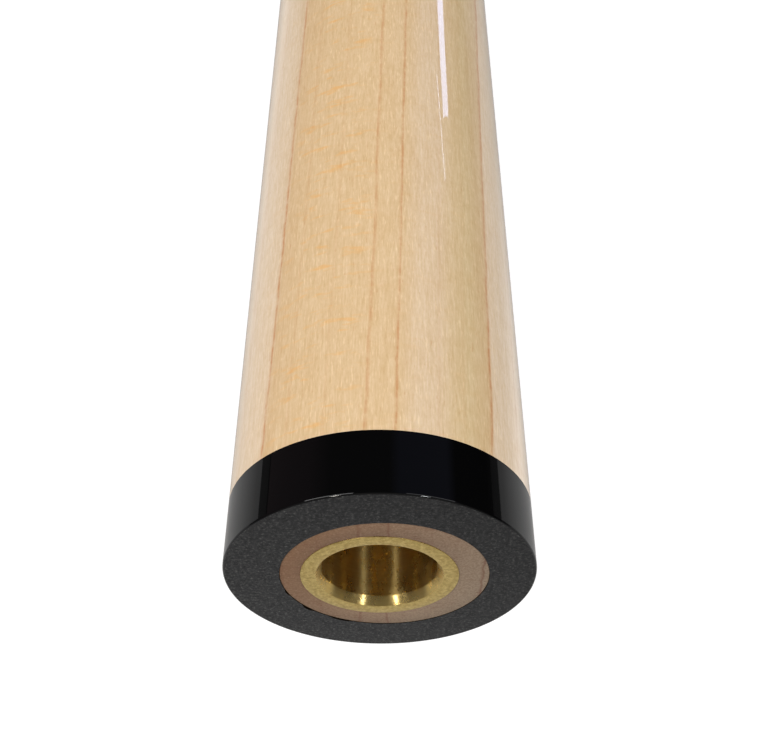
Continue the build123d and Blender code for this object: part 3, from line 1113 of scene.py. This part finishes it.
shader.inputs["Emission Strength"].default_value = 1.0
floor.data.materials.append(paper)


def softbox(name, place, target, width, depth, radiance, colour, turned=0):
    """A flat lamp of a given brightness, aimed at a point and turned on its own axis by degrees."""
    lamp = bpy.data.lights.new(name, "AREA")
    lamp.shape = "RECTANGLE"
    lamp.size, lamp.size_y = width, depth
    lamp.energy = radiance * pi * width * depth
    lamp.color = colour
    holder = bpy.data.objects.new(name, lamp)
    bpy.context.scene.collection.objects.link(holder)
    holder.location = place
    aim = holder.location.__class__(target) - holder.location
    turn = aim.to_track_quat("-Z", "Y").to_matrix().to_4x4()
    spin = turn.__class__.Rotation(radians(turned), 4, "Z")
    holder.rotation_euler = (turn @ spin).to_euler()
    return holder


white = (1, 1, 1)
at_joint = (0, 0, 0)
at_bright_streak = (0.005, 0.038, 0.009)
at_thin_streak = (0.005, 0.035, 0.009)
softbox("overhead_left", (-0.75, 0.02, 1.1), at_joint, 0.5, 0.8, 3.5, white)
softbox("overhead_right", (0.75, 0.02, 1.1), at_joint, 0.5, 0.8, 1.2, white)
for side, radiance in ((-1, 4.1), (1, 3.8)):
    wall = softbox("side_wall", (side, -0.3, 0.60), at_joint, 1.2, 1.0, radiance, white)
    wall.visible_glossy = False
softbox("front_right", (0.457, -0.526, 0.714), at_joint, 0.09, 0.09, 45.0, (0.94, 0.97, 1.0))
softbox("front_left", (-0.457, -0.526, 0.714), at_joint, 0.09, 0.09, 56.0, (1.0, 0.95, 0.88))
far_wide, far_thin = (0.50, 0.64, 1.0), (0.65, 0.75, 1.0)
softbox("far_wide", (0.539, 0.845, 0.2585), at_bright_streak, 0.14, 0.07, 6.0, far_wide, -20)
softbox("far_thin", (0.561, 0.794, 0.344), at_thin_streak, 0.10, 0.006, 7.0, far_thin)

world = bpy.data.worlds.new("studio")
bpy.context.scene.world = world
world.use_nodes = True
tree = world.node_tree
sky = tree.nodes["Background"]
apart = node(tree, "SeparateXYZ", (), {"Vector": node(tree, "TexCoord").outputs["Generated"]}).outputs
lean = maths(tree, "DIVIDE", maths(tree, "ARCTAN2", apart["X"], apart["Z"]), tau)
lean = maths(tree, "ADD", lean, 0.5)
room = ramp(
    tree,
    lean,
    [
        (0.25, (0.074, 0.056, 0.060, 1)),
        (0.35, (0.06, 0.045, 0.05, 1)),
        (0.40, 0.012),
        (0.52, 0.012),
        (0.54, (0.045, 0.05, 0.08, 1)),
        (0.64, (0.05, 0.055, 0.085, 1)),
        (0.66, 0.0),
        (0.74, 0.0),
        (0.78, 0.042),
    ],
)
# The near side of the room is lighter, and fills the brass bore
nearness = ramp(tree, maths(tree, "MULTIPLY", apart["Y"], -1.0), [(0.25, 0), (0.6, 1)])
room = mix(tree, nearness, room, (0.20, 0.195, 0.185, 1))
seen = node(tree, "LightPath").outputs["Is Camera Ray"]
tree.links.new(mix(tree, seen, room, grey(1.0)), sky.inputs["Color"])

camera_lens = bpy.data.cameras.new("view")
camera_lens.lens = 58.53
camera_lens.sensor_width = 36
camera_lens.clip_start = 0.001
camera = bpy.data.objects.new("view", camera_lens)
bpy.context.scene.collection.objects.link(camera)
camera.location = (0.000193, -0.039897, 0.075144)
camera.rotation_euler = (radians(37.354), 0, radians(0.238))
bpy.context.scene.camera = camera
bpy.context.scene.view_settings.view_transform = "Standard"
bpy.context.scene.view_settings.exposure = 0
